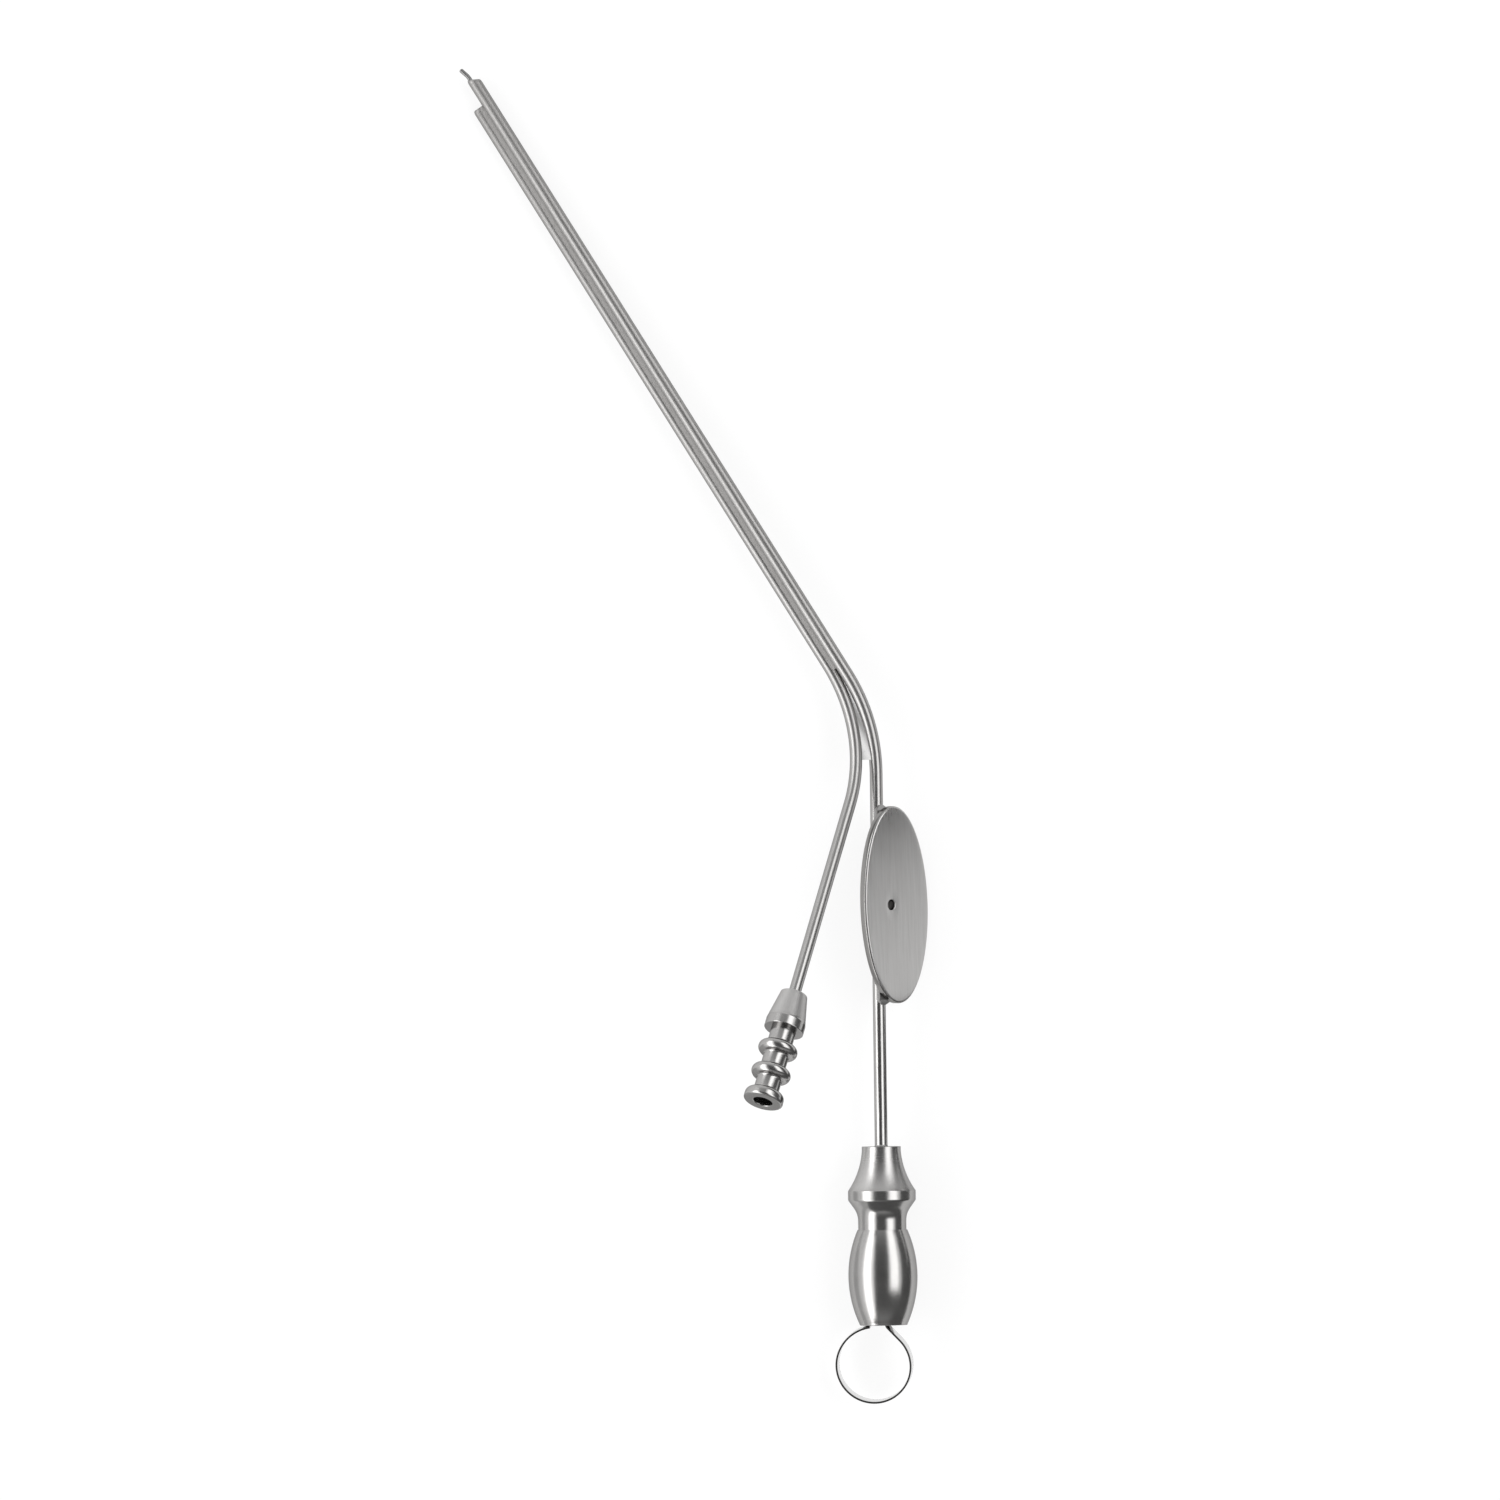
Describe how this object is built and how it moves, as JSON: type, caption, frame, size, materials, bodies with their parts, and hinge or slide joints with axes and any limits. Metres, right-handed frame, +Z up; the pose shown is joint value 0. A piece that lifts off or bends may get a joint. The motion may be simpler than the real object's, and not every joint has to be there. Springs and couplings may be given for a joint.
{
  "type": "suction irrigator",
  "caption": "Fine bent suction tube with a thinner irrigation tube soldered along it, an oval finger plate with a vent hole, two hose connectors and a stylet with a ring.",
  "frame": {"origin": "middle of the overall box, on the surface that the instrument lies on", "axes": "+Y along the handle from its hose end towards the working tip, +Z up off the surface, +X to the right as seen from above"},
  "size_m": [0.0594, 0.1742, 0.0281],
  "materials": {
    "drawn_tube": "drawn stainless tube, fine lengthwise marks, half bright",
    "satin_plate": "satin stainless, fine straight grain",
    "turned_steel": "turned and polished stainless",
    "solder": "silver solder, cleaned and slightly uneven",
    "stylet_steel": "spring steel wire and strip, bright with drawing marks"
  },
  "bodies": {
    "root": {"suction_tube": "drawn_tube", "irrigation_tube": "drawn_tube", "seam_solder": "solder", "fork_web": "solder", "finger_plate": "satin_plate", "plate_solder": "solder", "suction_connector": "turned_steel", "suction_joint_solder": "solder", "irrigation_connector": "turned_steel", "irrigation_joint_solder": "solder", "stylet_wire": "stylet_steel", "stylet_ring": "stylet_steel", "stylet_solder": "solder"}
  },
  "joints": []
}
